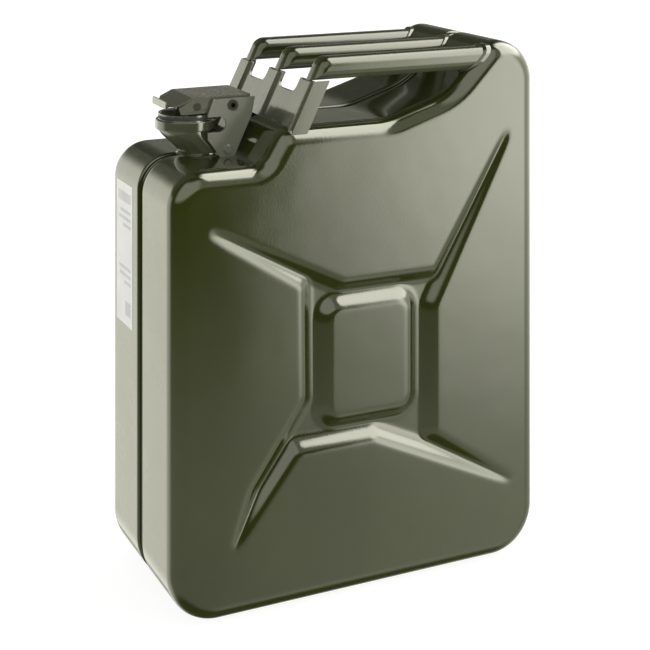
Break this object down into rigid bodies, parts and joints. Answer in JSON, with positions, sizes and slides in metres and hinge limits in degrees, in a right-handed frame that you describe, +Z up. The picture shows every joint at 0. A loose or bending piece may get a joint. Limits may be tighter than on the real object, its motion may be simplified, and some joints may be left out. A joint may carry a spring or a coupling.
{
  "type": "jerry can",
  "caption": "Pressed steel fuel can with a recessed seam, X-pressed faces, raked neck with lever closure and a triple bar handle.",
  "frame": {"origin": "centre of the can's underside, midway between the two big faces", "axes": "+Z up, +X from the filler neck to the handle hump, the two big pressed faces look along -Y and +Y"},
  "size_m": [0.3451, 0.165, 0.458],
  "materials": {
    "enamel": "glossy olive enamel",
    "enamel_dark": "shadowed olive enamel",
    "bare_steel": "unpainted drawn steel",
    "gasket_rubber": "fuel-proof rubber",
    "label_paper": "coated paper"
  },
  "bodies": {
    "can": {"front_half_shell": "enamel", "rear_half_shell": "enamel", "seam_weld": "enamel_dark", "neck": "enamel", "mouth_ring": "enamel", "neck_weld": "enamel", "hinge_bracket": "enamel", "bracket_rivets": "enamel", "hinge_pin": "enamel_dark", "handle_front_bracket": "enamel", "front_grip": "enamel", "centre_grip": "enamel", "rear_grip": "enamel", "grip_welds": "enamel", "bracket_foot_weld": "enamel", "vent_tube": "bare_steel", "vent_tube_saddle": "bare_steel", "side_label": "label_paper"},
    "lever": {"closure_lever": "enamel", "cap_pin": "enamel_dark"},
    "cap_body": {"cap": "enamel", "cap_gasket": "gasket_rubber"}
  },
  "joints": [
    {"name": "closure_hinge", "type": "hinge", "parent": "can", "child": "lever", "pos_m": [-0.0995, 0, 0.411], "axis": [0, 1, 0], "range_deg": [0, 115]},
    {"name": "cap_pivot", "type": "hinge", "parent": "lever", "child": "cap_body", "pos_m": [-0.1305, 0, 0.411], "axis": [0, 1, 0], "range_deg": [-10, 0]}
  ],
  "couplings": [
    {"joint": "cap_pivot", "follows": "closure_hinge", "ratio": -0.08}
  ]
}
